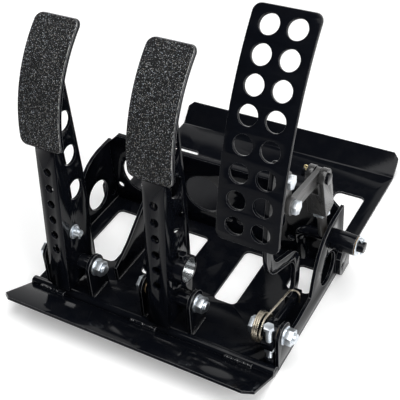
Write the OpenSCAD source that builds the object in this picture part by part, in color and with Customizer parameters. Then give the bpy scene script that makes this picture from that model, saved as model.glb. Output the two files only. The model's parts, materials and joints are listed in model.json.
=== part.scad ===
// Floor-mounted three-pedal box: clutch, brake and throttle on one folded base.
// X runs to the driver's right, Y runs forward away from the driver, Z runs up.
// The origin lies under the middle of the deck. All sizes are millimetres.

/* [Base] */
// Width of the deck
deck_w = 300; // [296:1:320]
// Length of the flat deck from front fold to rear fold
deck_l = 336; // [326:1:360]
// Thickness of the deck, lip and rear flange
deck_t = 3; // [2.5:0.1:4]
// Length of the upturned heel lip
lip_len = 60; // [45:1:75]
// Upturn of the heel lip in degrees
lip_angle = 28; // [20:1:32]
// Length of the upturned rear flange
rear_len = 30; // [20:1:40]
// Upturn of the rear flange in degrees
rear_angle = 48; // [35:1:60]
// Diameter of the round bar along the front fold
fold_bar_d = 11; // [10:0.5:12]
// Thickness of the ears, gusset and side plates
plate_t = 4; // [3:0.1:5]

/* [Cylinder bulkhead] */
// Distance of the bulkhead from the front fold
bulkhead_from_fold = 165; // [163:1:175]
// Height of the bulkhead above the deck
bulkhead_h = 97; // [94:1:110]
// Thickness of the bulkhead sheet
bulkhead_t = 3; // [2.5:0.1:4]
// Radius of the cylinder openings
cylinder_r = 25; // [20:0.5:26]
// Distance between the two bolts of one cylinder
cylinder_bolt_gap = 64; // [60:1:66]
// Distance between the two brake cylinders
brake_cylinder_gap = 78; // [76:1:84]

/* [Pedals] */
// Distance of the pivot line from the front fold
pivot_from_fold = 21; // [20:0.5:23]
// Height of the pivot line above the deck
pivot_h = 36; // [35:0.5:40]
// Distance of the clutch pedal from the left edge of the deck
clutch_from_edge = 45; // [42:1:60]
// Place of the brake pedal from the centre
brake_x = 20; // [15:1:25]
// Width of the clutch and brake pads
pad_w = 50; // [44:1:60]
// Width of the pedal arms
arm_w = 24; // [20:1:28]
// Sheet thickness of the pedal arms
arm_t = 3; // [2:0.1:4]
// Thickness of the pads
pad_t = 4; // [3:0.1:5]
// Thickness of the grip tape
tape_t = 1; // [0.6:0.1:1.5]
// Free width between the two ears of one pedal
ear_gap = 54; // [52:0.5:56]

/* [Throttle] */
// Width of the throttle pad
throttle_pad_w = 64; // [58:1:68]
// Radius of the holes in the throttle pad
throttle_hole_r = 9.8; // [6:0.1:11]
// Distance between the holes in the throttle pad
throttle_hole_gap = 26.6; // [24:0.1:28]
// Thickness of the throttle arm plates
lever_t = 5; // [4:0.1:5.5]
// Width of the throttle arm bar
lever_w = 12; // [10:0.5:13]

/* [Fasteners and clearances] */
// Pivot bolt diameter
bolt_d = 10; // [9:0.1:11]
// Radial running clearance of a pivot
run_gap = 0.05; // [0.02:0.01:0.09]
// Side gap between moving faces
side_gap = 0.3; // [0.2:0.05:0.5]
// Slack of the link at the clevis pin
link_slack = 0.95; // [0.9:0.05:1.2]

/* [Hidden] */
$fn = 96;
black = [0.06, 0.06, 0.07];
zinc = [0.72, 0.75, 0.79];
bronze = [0.62, 0.42, 0.22];
grip = [0.16, 0.16, 0.16];
deck_half = deck_w / 2;
fold_y = -deck_l / 2;
rear_y = deck_l / 2;
pivot_y = fold_y + pivot_from_fold;
bulkhead_y = fold_y + bulkhead_from_fold;
pivot_z = deck_t + pivot_h;
clutch_x = -deck_half + clutch_from_edge;
bolt_r = bolt_d / 2;
bar_r = fold_bar_d / 2;
// Side plates stand on the deck's two long edges
wing_in = deck_half - plate_t;
bulk_z = deck_t + bulkhead_h;
cyl_z = deck_t + 47;
cyl_bolt_z = cyl_z - 25;
cyl_bolt_r = 4.25;
// Windows in the deck
window_corner = 6;
window_y0 = pivot_y + 43;
window_y1 = bulkhead_y - 19;
rear_window_y0 = bulkhead_y + 30;
rear_window_y1 = rear_y - 48;
rear_window_x0 = deck_half - 53;
rear_window_x1 = deck_half - 17;
// The deck and the lip stop short of the fold line and meet in the fold bar
fold_short = 3;
lip_corner = 10;
lip_corner_y = 8;
fold_weld_r = 3.2;
fold_weld_half = 15;
fold_weld_xs = [-deck_half + 32, 0, deck_half - 38];
fold_weld_y = fold_y - bar_r - 0.6;
fold_weld_z = bar_r + 2.2;
// Rear fold of the deck
rear_fold_r = 4;
rear_fold_steps = 8;
flange_corner = 10;
// Top flange of the bulkhead
bulk_flange = 4;
bulk_chamfer = 12;
// Outline of the side plates where they rise to the bulkhead
wing_top = bulk_z - 11;
wing_hole_r = 19;
wing_hole_y = bulkhead_y - 35;
wing_hole_z = deck_t + 29;
wing_y1 = bulkhead_y + 6;
wing_rise = [[bulkhead_y - 78, deck_t + 24], [bulkhead_y - 73, deck_t + 38], [bulkhead_y - 66, deck_t + 54],
  [bulkhead_y - 58, deck_t + 66], [bulkhead_y - 50, deck_t + 74], [bulkhead_y - 42, deck_t + 79],
  [bulkhead_y - 32, wing_top - 3], [bulkhead_y - 19, wing_top - 0.6], [bulkhead_y - 6, wing_top],
  [wing_y1, wing_top], [wing_y1, deck_t]];
// Side lugs outside the side plates, with one bolt hole each
lug_t = 6;
lug_y0 = bulkhead_y - 14;
lug_y1 = bulkhead_y + 13;
lug_h = 34;
lug_cut = 6;
lug_hole_r = 3.25;
lug_hole_y = bulkhead_y - 7;
lug_hole_z = deck_t + 12;
clutch_cyl_x = clutch_x - 1;
brake_cyl_xs = [brake_x - brake_cylinder_gap / 2, brake_x + brake_cylinder_gap / 2];
cyl_xs = concat([clutch_cyl_x], brake_cyl_xs);
// Ears, hubs and bushes of the clutch and brake
ear_in = ear_gap / 2;
ear_out = ear_in + plate_t;
ear_r = 14;
hub_r = 9;
bush_r = 7;
flange_t = 1.5;
flange_r = 8.5;
hub_half = ear_in - side_gap - flange_t;
bush_len = 12;
washer_t = 2;
head_t = 6.4;
nut_t = 8;
hex_af = 16;
washer_r = 10;
pin_head_r = 6;
pin_head_t = 2.5;
// Curved pads: centre of curvature, radius and lean at both ends
pad_cy = pivot_y + 135.5;
pad_cz = pivot_z + 151.5;
pad_r = 145.1;
pad_corner = 7.8;
tape_edge = 1;
pad_lean0 = 1.5;
pad_lean1 = 55.2;
pad_front_r = pad_r - tape_t;
pad_back_r = pad_front_r - pad_t;
pad_foot_z = pad_cz + pad_r * sin(pad_lean0);
// Pedal arm: front line leans forward, rear edge is close to upright
arm_lean = 7.7;
arm_foot_z = pivot_z - 20;
function arm_front(z) = pivot_y - 25.6 + (z - pivot_z) * tan(arm_lean);
clevis_y = pivot_y - 2;
clevis_z = pivot_z + 46;
pin_r = 4;
balance_y = pivot_y + 6;
balance_z = pivot_z + 38;
balance_r = 16;
balance_bore = 13;
balance_half = 22;
// Throttle pad: a point of its face near the link, the lean there, and the lengths below and above it
thr_r = 343.7;
thr_lean = 20;
thr_face_y = pivot_y + 16.6;
thr_face_z = pivot_z + 177.4;
thr_below = 74.7;
thr_above = 145.8;
thr_hole_edge = 17.7;
thr_hole_rows = 8;
thr_cy = thr_face_y + thr_r * cos(thr_lean);
thr_cz = thr_face_z - thr_r * sin(thr_lean);
function thr_arc(len) = len / thr_r * 180 / PI;
thr_lean0 = thr_lean - thr_arc(thr_below);
thr_lean1 = thr_lean + thr_arc(thr_above);
thr_back_r = thr_r - pad_t;
thr_foot_z = thr_cz + thr_r * sin(thr_lean0);
thr_inset = 1;
throttle_x = wing_in - thr_inset - throttle_pad_w / 2;
// Stack of the throttle along X, counted from the right side plate
thr_hub_x1 = wing_in - side_gap - flange_t;
lever_inset = 9;
lever_hub_r = 13;
lever_x1 = wing_in - lever_inset;
lever_x0 = lever_x1 - lever_t;
arm_x1 = lever_x0;
arm_x0 = arm_x1 - lever_t;
thr_hub_x0 = arm_x0 - 3.7;
thr_washer_x1 = thr_hub_x0 - flange_t - side_gap;
thr_head_x1 = thr_washer_x1 - flange_t;
wire_r = 1.1;
leg_r = 1.05;
coil_r = hub_r + 6;
coil_pitch = 1.95 * wire_r;
coil_turns = 4;
hook_x = lever_x0 - 1 - wire_r;
coil_end_x = hook_x - 2 * wire_r - side_gap;
// Stop bolt through a tab of the throttle lever, standing on a boss of the deck
stop_r = 3;
stop_af = 10;
stop_head_t = 4;
stop_x = wing_in - 6.8;
stop_y = pivot_y - 12.3;
stop_tip_z = deck_t + 12;
stop_top = pivot_z + 20;
stop_nut_t = 5;
stop_boss_r = 5;
tab_z0 = pivot_z - 9;
tab_z1 = pivot_z - 1;
tab_half = 5.5;
// Centre line of the bent throttle arm in Y and Z
arm_path = [[pivot_y + 49, pivot_z - 8.6], [pivot_y + 68, pivot_z - 12], [pivot_y + 73.5, pivot_z + 41],
  [pivot_y + 9, pivot_z + 69.5], [pivot_y + 9, pivot_z + 108]];
arm_bend = 15;
bend_steps = 12;
// Link from the throttle arm to the crank
bracket_t = 4;
bracket_w = 17;
link_eye_r = 9;
link_w = 16;
link_af = 13;
link_head_t = 5.3;
link_nut_t = 6.5;
link_tail = 8.5;
bracket_x1 = arm_x1 + bracket_t;
link_t = 5;
link_x0 = bracket_x1 + side_gap;
link_x1 = link_x0 + link_t;
link_x = (link_x0 + link_x1) / 2;
link_y = pivot_y + 40;
link_z = pivot_z + 131;
top_bolt_y = link_y + 1;
top_bolt_z = link_z + 27;
// Crank across the right side plate
crank_y = pivot_y + 121;
crank_z = pivot_z + 27;
crank_r = 6;
fork_y = pivot_y + 103;
fork_z = pivot_z + 120;
crank_lean = atan((crank_y - fork_y) / (fork_z - crank_z));
fork_s = norm([crank_y - fork_y, fork_z - crank_z]);
tube_r = 11;
tube_bore = 8;
tube_len = 30;
crank_flange_t = 1;
tube_x1 = wing_in + tube_len;
crank_washer_x0 = tube_x1 + crank_flange_t + side_gap;
crank_end_x = crank_washer_x0 + washer_t + 5.5;
crank_pin_x = crank_washer_x0 + washer_t + 2;
leg_x = wing_in - 34;
leg_bend = 12;
// Bending draws the rod in a little
bend_draw = 0.05;
leg_lean = 12;
leg_len = 36;
cable_r = 2.5;
crank_pin_r = 1.25;
fork_w = 20;
fork_gap = link_t + 2;
rod_r = 5;
nut_s0 = 40;
fork_s0 = 46;
fork_x0 = link_x - fork_w / 2;
fork_x1 = link_x + fork_w / 2;
fork_clip_x = fork_x0 - 2.5;
clutch_pin_x = clutch_x + arm_w / 2;
screw_x = brake_x + balance_half - 5;
bolt_tail = washer_t + nut_t + 3;
nut_faces = [clutch_x + ear_out, brake_x + ear_out, deck_half];

module block(a, b) {
  translate(a)
    cube(b - a);
}

// Flat sheet across X, drawn in Y and Z
module sheet_x(x0, x1) {
  translate([x0, 0, 0])
    rotate([90, 0, 90])
      linear_extrude(x1 - x0)
        children();
}

// Flat sheet across Y, drawn in X and Z
module sheet_y(y0, y1) {
  translate([0, y1, 0])
    rotate([90, 0, 0])
      linear_extrude(y1 - y0)
        children();
}

module rod_x(x0, x1, y, z, r) {
  translate([x0, y, z])
    rotate([0, 90, 0])
      cylinder(h = x1 - x0, r = r);
}

module hex_x(x0, x1, y, z, af) {
  translate([x0, y, z])
    rotate([0, 90, 0])
      cylinder(h = x1 - x0, r = af / sqrt(3), $fn = 6);
}

// Close-wound turns of wire round the pivot line, going left from x
module coil_x(x, turns) {
  translate([x, pivot_y, pivot_z])
    rotate([0, -90, 0])
      rotate_extrude()
        for (i = [0:turns - 1])
          translate([coil_r, i * coil_pitch])
            circle(r = wire_r, $fn = 24);
}

// Straight round wire between two points
module wire(a, b, r) {
  d = b - a;
  len = norm(d);
  translate(a)
    rotate([0, acos(d[2] / len), atan2(d[1], d[0])])
      cylinder(h = len, r = r, $fn = 24);
}

module round_rect(w, h, r) {
  square([w - 2 * r, h], center = true);
  square([w, h - 2 * r], center = true);
  for (sx = [-1, 1])
    for (sy = [-1, 1])
      translate([sx * (w / 2 - r), sy * (h / 2 - r)])
        circle(r = r, $fn = 48);
}

// Straight bar with a given width between two points of a flat drawing
module bar2d(a, b, w) {
  d = b - a;
  translate(a)
    rotate(atan2(d[1], d[0]))
      translate([0, -w / 2])
        square([norm(d), w]);
}

function unit(v) = v / norm(v);

// Points of one rounded corner, on the side of the bar that lies at the given offset
function corner(a, b, c, r, off) =
  let (u = unit(b - a), v = unit(c - b), left = u[0] * v[1] - u[1] * v[0] > 0 ? 1 : -1)
  let (turn = acos(u * v), start = atan2(u[1], u[0]) - left * 90)
  let (m = b - u * r * tan(turn / 2) + left * r * [-u[1], u[0]])
  [for (i = [0:bend_steps])
    m + (r - left * off) * [cos(start + left * turn * i / bend_steps), sin(start + left * turn * i / bend_steps)]];

function flat(lists) = [for (l = lists) for (p = l) p];

function side(path, r, off) =
  let (n = len(path) - 1, u = unit(path[1] - path[0]), v = unit(path[n] - path[n - 1]))
  flat([[path[0] + off * [-u[1], u[0]]],
    flat([for (i = [1:n - 1]) corner(path[i - 1], path[i], path[i + 1], r, off)]),
    [path[n] + off * [-v[1], v[0]]]]);

function turned(list) = [for (i = [len(list) - 1:-1:0]) list[i]];

// Flat bar with rounded bends along a path
module bent_bar2d(path, w, r) {
  polygon(concat(side(path, r, w / 2), turned(side(path, r, -w / 2))));
}

module window(x0, x1, y0, y1) {
  translate([(x0 + x1) / 2, (y0 + y1) / 2])
    round_rect(x1 - x0, y1 - y0, window_corner);
}

module fold_bar_blank() {
  rod_x(-deck_half, deck_half, fold_y, bar_r, bar_r);
}

module fold_bar_cut() {
  rod_x(-deck_half - 1, deck_half + 1, fold_y, bar_r, bar_r);
}

// Points of the rear fold's arc in Y and Z, at a given radius
function rear_arc(r) = [for (i = [0:rear_fold_steps])
  let (a = rear_angle * i / rear_fold_steps)
  [rear_y + r * sin(a), deck_t + rear_fold_r - r * cos(a)]];

// Deck, rear fold and rear flange seen from the side
function deck_profile() =
  let (out = rear_arc(deck_t + rear_fold_r), in = rear_arc(rear_fold_r), n = rear_fold_steps)
  let (run = rear_len * [cos(rear_angle), sin(rear_angle)])
  let (start = fold_y + fold_short)
  concat([[start, 0]], out, [out[n] + run, in[n] + run], turned(in), [[start, deck_t]]);

module base_deck() {
  high = 2 * (rear_len + deck_t);
  corner_x = deck_half - flange_corner;
  end_y = rear_y + (deck_t + rear_fold_r) * sin(rear_angle) + rear_len * cos(rear_angle);
  cut = flange_corner * cos(rear_angle);
  color(black)
    difference() {
      sheet_x(-deck_half, deck_half)
        polygon(deck_profile());
      translate([0, 0, -1])
        linear_extrude(high) {
          window(-deck_half + 20, clutch_x + 19, window_y0, window_y1);
          window(brake_x - 70, brake_x - 25, window_y0, window_y1);
          window(brake_x + 24, brake_x + 51, window_y0, window_y1);
          window(leg_x - 4, leg_x + 24, crank_y - 30, window_y1 + 5);
          window(-rear_window_x1, -rear_window_x0, rear_window_y0, rear_window_y1);
          window(rear_window_x0, rear_window_x1, rear_window_y0, rear_window_y1);
          for (s = [-1, 1])
            polygon([[s * corner_x, end_y + 1], [s * corner_x, end_y], [s * deck_half, end_y - cut],
              [s * (deck_half + 1), end_y - cut], [s * (deck_half + 1), end_y + 1]]);
        }
      fold_bar_cut();
    }
}

module lip_blank() {
  translate([0, fold_y, 0])
    rotate([-lip_angle, 0, 0])
      linear_extrude(deck_t)
        polygon([[-deck_half, -fold_short], [deck_half, -fold_short], [deck_half, -lip_len + lip_corner_y],
          [deck_half - lip_corner, -lip_len], [-deck_half + lip_corner, -lip_len],
          [-deck_half, -lip_len + lip_corner_y]]);
}

module heel_lip() {
  color(black)
    difference() {
      lip_blank();
      fold_bar_cut();
    }
}

module fold_bar() {
  color(black)
    fold_bar_blank();
}

module fold_welds() {
  color(black)
    for (x = fold_weld_xs)
      difference() {
        rod_x(x - fold_weld_half, x + fold_weld_half, fold_weld_y, fold_weld_z, fold_weld_r);
        fold_bar_cut();
        lip_blank();
      }
}

module cylinder_bulkhead() {
  color(black) {
    difference() {
      sheet_y(bulkhead_y, bulkhead_y + bulkhead_t)
        difference() {
          polygon([[-wing_in, deck_t], [wing_in, deck_t], [wing_in, bulk_z - bulk_chamfer],
            [wing_in - bulk_chamfer, bulk_z], [-wing_in + bulk_chamfer, bulk_z],
            [-wing_in, bulk_z - bulk_chamfer]]);
          for (x = cyl_xs)
            for (s = [-1, 1])
              translate([x + s * cylinder_bolt_gap / 2, cyl_bolt_z])
                circle(r = cyl_bolt_r);
        }
      for (x = cyl_xs)
        translate([x, bulkhead_y - 1, cyl_z])
          rotate([-90, 0, 0])
            cylinder(h = bulkhead_t + 2, r = cylinder_r);
    }
    block([-wing_in + bulk_chamfer, bulkhead_y + bulkhead_t, bulk_z - bulkhead_t],
      [wing_in - bulk_chamfer, bulkhead_y + bulkhead_t + bulk_flange, bulk_z]);
  }
}

module left_side_plate() {
  color(black)
    difference() {
      sheet_x(-deck_half, -wing_in)
        polygon(concat([[bulkhead_y - 84, deck_t], [bulkhead_y - 84, deck_t + 16]], wing_rise));
      rod_x(-deck_half - 1, -wing_in + 1, wing_hole_y, wing_hole_z, wing_hole_r);
      rod_x(-deck_half - 1, -wing_in + 1, lug_hole_y, lug_hole_z, lug_hole_r);
    }
}

// Round lug about the pivot line on a foot that widens to the deck
module ear_outline(r) {
  translate([pivot_y, pivot_z])
    circle(r = r);
  polygon([[pivot_y - r - 1, deck_t], [pivot_y + r + 3, deck_t], [pivot_y + r - 0.1, pivot_z],
    [pivot_y - r + 0.1, pivot_z]]);
}

module right_side_plate() {
  color(black)
    difference() {
      union() {
        sheet_x(wing_in, deck_half)
          ear_outline(ear_r - 1);
        sheet_x(wing_in, deck_half)
          polygon(concat([[pivot_y, deck_t], [pivot_y, deck_t + 20], [pivot_y + 24, deck_t + 22],
            [pivot_y + 34, deck_t + 21]], wing_rise));
      }
      rod_x(wing_in - 1, deck_half + 1, wing_hole_y, wing_hole_z, wing_hole_r);
      rod_x(wing_in - 1, deck_half + 1, lug_hole_y, lug_hole_z, lug_hole_r);
      rod_x(wing_in - 1, deck_half + 1, pivot_y, pivot_z, bolt_r);
      rod_x(wing_in - 1, deck_half + 1, crank_y, crank_z, tube_r);
    }
}

module side_lug(x0) {
  difference() {
    sheet_x(x0, x0 + lug_t)
      polygon([[lug_y0 + lug_cut, 0], [lug_y1, 0], [lug_y1, lug_h - lug_cut], [lug_y1 - lug_cut, lug_h],
        [lug_y0 + lug_cut, lug_h], [lug_y0, lug_h - lug_cut], [lug_y0, lug_cut]]);
    rod_x(x0 - 1, x0 + lug_t + 1, lug_hole_y, lug_hole_z, lug_hole_r);
  }
}

module side_lugs() {
  color(black) {
    side_lug(-deck_half - lug_t);
    side_lug(deck_half);
  }
}

module centre_gusset() {
  x0 = clutch_x + ear_out + 6;
  color(black)
    sheet_x(x0, x0 + plate_t)
      polygon([[pivot_y + 21, deck_t], [pivot_y + 21, deck_t + 18], [pivot_y + 49, deck_t + 32],
        [pivot_y + 86, deck_t + 59], [bulkhead_y - 14, bulk_z - 9], [bulkhead_y, bulk_z - 9],
        [bulkhead_y, deck_t]]);
}

module ear(x0) {
  color(black)
    difference() {
      sheet_x(x0, x0 + plate_t)
        ear_outline(ear_r);
      rod_x(x0 - 1, x0 + plate_t + 1, pivot_y, pivot_z, bolt_r);
    }
}

module clutch_outer_ear() {
  ear(clutch_x - ear_out);
}

module clutch_inner_ear() {
  ear(clutch_x + ear_in);
}

module brake_outer_ear() {
  ear(brake_x - ear_out);
}

module brake_inner_ear() {
  ear(brake_x + ear_in);
}

// Hexagon bolt along X with its head on the left
module pivot_bolt(x0, x1) {
  color(zinc) {
    hex_x(x0 - head_t, x0, pivot_y, pivot_z, hex_af);
    rod_x(x0 - 0.5, x1, pivot_y, pivot_z, bolt_r);
  }
}

module clutch_pivot_bolt() {
  pivot_bolt(clutch_x - ear_out, clutch_x + ear_out + bolt_tail);
}

module brake_pivot_bolt() {
  pivot_bolt(brake_x - ear_out, brake_x + ear_out + bolt_tail);
}

module throttle_pivot_bolt() {
  pivot_bolt(thr_head_x1, deck_half + bolt_tail);
}

module pivot_nuts() {
  color(zinc)
    for (x = nut_faces)
      difference() {
        hex_x(x + washer_t, x + washer_t + nut_t, pivot_y, pivot_z, hex_af);
        rod_x(x, x + washer_t + nut_t + 1, pivot_y, pivot_z, bolt_r);
      }
}

module pivot_washers() {
  color(zinc) {
    for (x = nut_faces)
      difference() {
        rod_x(x, x + washer_t, pivot_y, pivot_z, washer_r);
        rod_x(x - 1, x + washer_t + 1, pivot_y, pivot_z, bolt_r);
      }
    difference() {
      rod_x(thr_head_x1, thr_washer_x1, pivot_y, pivot_z, washer_r);
      rod_x(thr_head_x1 - 1, thr_washer_x1 + 1, pivot_y, pivot_z, bolt_r);
    }
  }
}

module crank_bearing_tube() {
  color(black)
    difference() {
      rod_x(wing_in, tube_x1, crank_y, crank_z, tube_r);
      rod_x(wing_in - 1, tube_x1 + 1, crank_y, crank_z, tube_bore);
    }
}

module crank_bushes() {
  color(bronze) {
    difference() {
      union() {
        rod_x(wing_in - crank_flange_t, wing_in, crank_y, crank_z, tube_r - 1);
        rod_x(wing_in - 0.5, wing_in + 10, crank_y, crank_z, tube_bore);
      }
      rod_x(wing_in - 5, wing_in + 11, crank_y, crank_z, crank_r + run_gap);
    }
    difference() {
      union() {
        rod_x(tube_x1, tube_x1 + crank_flange_t, crank_y, crank_z, tube_r - 1);
        rod_x(tube_x1 - 10, tube_x1 + 0.5, crank_y, crank_z, tube_bore);
      }
      rod_x(tube_x1 - 11, tube_x1 + 5, crank_y, crank_z, crank_r + run_gap);
    }
  }
}

// Seat for the stop bolt, welded to the deck and the fold bar
module stop_boss() {
  color(black)
    difference() {
      translate([stop_x, stop_y, deck_t])
        cylinder(h = stop_tip_z - side_gap - deck_t, r = stop_boss_r);
      fold_bar_cut();
    }
}

module stop_bolt() {
  color(zinc)
    translate([stop_x, stop_y, 0]) {
      translate([0, 0, stop_tip_z])
        cylinder(h = stop_top - stop_tip_z - 1, r = stop_r);
      translate([0, 0, stop_top - stop_head_t])
        cylinder(h = stop_head_t, r = stop_af / sqrt(3), $fn = 6);
    }
}

module stop_locknut() {
  color(zinc)
    translate([stop_x, stop_y, tab_z0 - stop_nut_t])
      difference() {
        cylinder(h = stop_nut_t, r = stop_af / sqrt(3), $fn = 6);
        translate([0, 0, -1])
          cylinder(h = stop_nut_t + 2, r = stop_r);
      }
}

module return_spring_coil() {
  x = coil_end_x - (coil_turns - 1) * coil_pitch;
  color(zinc) {
    coil_x(coil_end_x, coil_turns);
    wire([x, pivot_y + coil_r * sin(45), pivot_z - coil_r * cos(45)],
      [x, pivot_y + 36, deck_t + wire_r], leg_r);
  }
}

// Everything in front of a pad's back face, used to trim what carries the pad
module pad_trim(cy, cz, back_r, foot_z) {
  difference() {
    block([-deck_w, cy - back_r - 40, foot_z - 4], [deck_w, cy, cz + back_r + 40]);
    rod_x(-deck_w - 1, deck_w + 1, cy, cz, back_r);
  }
}

module curved_sheet(x, w, cy, cz, r0, r1, lean0, lean1, corner, inset) {
  mid = (lean0 + lean1) / 2;
  chord = 2 * r1 * sin((lean1 - lean0) / 2) - 2 * inset;
  difference() {
    intersection() {
      translate([x, cy, cz])
        rotate([90 - mid, 0, 0])
          translate([0, 0, r0 / 2])
            linear_extrude(r1)
              round_rect(w - 2 * inset, chord, corner);
      rod_x(x - w, x + w, cy, cz, r1);
    }
    rod_x(x - w, x + w, cy, cz, r0);
  }
}

module pedal_arm(x) {
  half = arm_w / 2;
  top_z = pad_foot_z + 100;
  color(black)
    difference() {
      union() {
        for (s = [-1, 1])
          sheet_x(x + s * (half - arm_t / 2) - arm_t / 2, x + s * (half - arm_t / 2) + arm_t / 2)
            polygon([[arm_front(arm_foot_z), arm_foot_z], [arm_front(top_z), top_z],
              [pivot_y + 30, top_z], [pivot_y + 31, pivot_z + 107], [pivot_y + 27, pivot_z + 38],
              [pivot_y + 24, pivot_z - 17], [pivot_y + 20, arm_foot_z]]);
        sheet_x(x - half, x + half)
          polygon([[arm_front(arm_foot_z), arm_foot_z], [arm_front(pad_foot_z + 6), pad_foot_z + 6],
            [arm_front(pad_foot_z + 6) + arm_t, pad_foot_z + 6], [arm_front(arm_foot_z) + arm_t, arm_foot_z]]);
      }
      pad_trim(pad_cy, pad_cz, pad_back_r, pad_foot_z);
      rod_x(x - half - 1, x + half + 1, pivot_y, pivot_z, hub_r);
      for (h = [92, 135, 175])
        rod_x(x - half - 1, x + half + 1, pivot_y + 13.5 + (h - 92) * 0.042, pivot_z + h, 11);
      for (h = [32, 51, 70, 89, 108, 127])
        translate([x, arm_front(pivot_z + h) + arm_t + 4, pivot_z + h])
          rotate([90 + arm_lean, 0, 0])
            cylinder(h = arm_t + 8, r = 4.8);
      children();
    }
}

module foot_pad(x) {
  color(black)
    curved_sheet(x, pad_w, pad_cy, pad_cz, pad_back_r, pad_front_r, pad_lean0, pad_lean1, pad_corner, 0);
}

module foot_grip(x) {
  color(grip)
    curved_sheet(x, pad_w, pad_cy, pad_cz, pad_front_r, pad_r, pad_lean0, pad_lean1,
      pad_corner - tape_edge, tape_edge);
}

module pivot_tube(x0, x1) {
  color(black)
    difference() {
      rod_x(x0, x1, pivot_y, pivot_z, hub_r);
      rod_x(x0 - 1, x1 + 1, pivot_y, pivot_z, bush_r);
    }
}

// Two flanged bushes at the ends of a pivot tube
module bush_pair(x0, x1) {
  len = min(bush_len, (x1 - x0) / 2 - 1);
  color(bronze) {
    difference() {
      union() {
        rod_x(x0 - flange_t, x0, pivot_y, pivot_z, flange_r);
        rod_x(x0 - 0.5, x0 + len, pivot_y, pivot_z, bush_r);
      }
      rod_x(x0 - 5, x0 + len + 1, pivot_y, pivot_z, bolt_r + run_gap);
    }
    difference() {
      union() {
        rod_x(x1, x1 + flange_t, pivot_y, pivot_z, flange_r);
        rod_x(x1 - len, x1 + 0.5, pivot_y, pivot_z, bush_r);
      }
      rod_x(x1 - len - 1, x1 + 5, pivot_y, pivot_z, bolt_r + run_gap);
    }
  }
}

module clutch_arm() {
  pedal_arm(clutch_x)
    rod_x(clutch_x - arm_w, clutch_x + arm_w, clevis_y, clevis_z, pin_r);
}

module clutch_pad() {
  foot_pad(clutch_x);
}

module clutch_grip() {
  foot_grip(clutch_x);
}

module clutch_pivot_tube() {
  pivot_tube(clutch_x - hub_half, clutch_x + hub_half);
}

module clutch_bushes() {
  bush_pair(clutch_x - hub_half, clutch_x + hub_half);
}

module clutch_clevis_pin() {
  color(zinc)
    difference() {
      union() {
        rod_x(clutch_x - arm_w / 2, clutch_pin_x + 9, clevis_y, clevis_z, pin_r);
        rod_x(clutch_x - arm_w / 2 - pin_head_t, clutch_x - arm_w / 2, clevis_y, clevis_z, pin_head_r);
      }
      translate([clutch_pin_x + 5.5, clevis_y, clevis_z - 10])
        cylinder(h = 20, r = 1, $fn = 24);
    }
}

module clutch_pin_washer() {
  color(zinc)
    difference() {
      rod_x(clutch_pin_x, clutch_pin_x + 1.6, clevis_y, clevis_z, 8);
      rod_x(clutch_pin_x - 1, clutch_pin_x + 3, clevis_y, clevis_z, pin_r);
    }
}

// Split pin standing upright with its eye on top
module split_pin(x, y, z, hole_half, r) {
  color(zinc) {
    translate([x, y, z - hole_half - 4])
      cylinder(h = 2 * hole_half + 6, r = r, $fn = 24);
    translate([x, y, z + hole_half + 2 + 1.6 * r])
      rotate([90, 0, 0])
        rotate_extrude()
          translate([1.7 * r, 0])
            circle(r = 0.7 * r, $fn = 16);
  }
}

module clutch_split_pin() {
  split_pin(clutch_pin_x + 5.5, clevis_y, clevis_z, pin_r, 1);
}

module brake_arm() {
  pedal_arm(brake_x)
    rod_x(brake_x - arm_w, brake_x + arm_w, balance_y, balance_z, balance_r);
}

module brake_pad() {
  foot_pad(brake_x);
}

module brake_grip() {
  foot_grip(brake_x);
}

module brake_pivot_tube() {
  pivot_tube(brake_x - hub_half, brake_x + hub_half);
}

module brake_bushes() {
  bush_pair(brake_x - hub_half, brake_x + hub_half);
}

module balance_tube() {
  color(black)
    difference() {
      rod_x(brake_x - balance_half, brake_x + balance_half, balance_y, balance_z, balance_r);
      rod_x(brake_x - balance_half - 1, brake_x + balance_half + 1, balance_y, balance_z, balance_bore);
      translate([screw_x, balance_y, balance_z])
        cylinder(h = balance_r + 5, r = 2.5);
    }
}

module balance_lock_screw() {
  color(black) {
    translate([screw_x, balance_y, balance_z + balance_bore + 0.5])
      cylinder(h = balance_r - balance_bore + 2, r = 2.5);
    translate([screw_x, balance_y, balance_z + balance_r])
      cylinder(h = 5, r = 8 / sqrt(3), $fn = 6);
  }
}

module throttle_pad() {
  color(black)
    difference() {
      curved_sheet(throttle_x, throttle_pad_w, thr_cy, thr_cz, thr_back_r, thr_r, thr_lean0, thr_lean1,
        pad_corner, 0);
      for (i = [0:thr_hole_rows - 1])
        for (s = [-1, 1])
          translate([throttle_x + s * throttle_hole_gap / 2, thr_cy, thr_cz])
            rotate([90 - thr_lean0 - thr_arc(thr_hole_edge + i * throttle_hole_gap), 0, 0])
              translate([0, 0, thr_back_r - 2 * pad_t])
                cylinder(h = 5 * pad_t, r = throttle_hole_r, $fn = 48);
    }
}

module throttle_arm() {
  head = arm_path[4];
  color(black)
    difference() {
      sheet_x(arm_x0, arm_x1) {
        bent_bar2d(arm_path, lever_w, arm_bend);
        polygon([[pivot_y, thr_foot_z + 5], [pivot_y, link_z + 56], [link_y - 10, link_z + 56],
          [link_y + 13, link_z + 38], [link_y + 13, link_z - 8], [link_y + 4, link_z - 14],
          [head[0] + lever_w / 2, head[1] - 6], [head[0], head[1] - 8], [head[0], thr_foot_z + 5]]);
      }
      pad_trim(thr_cy, thr_cz, thr_back_r, thr_foot_z);
      rod_x(arm_x0 - 1, arm_x1 + 1, link_y, link_z, pin_r);
      rod_x(arm_x0 - 1, arm_x1 + 1, top_bolt_y, top_bolt_z, pin_r);
    }
}

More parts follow.
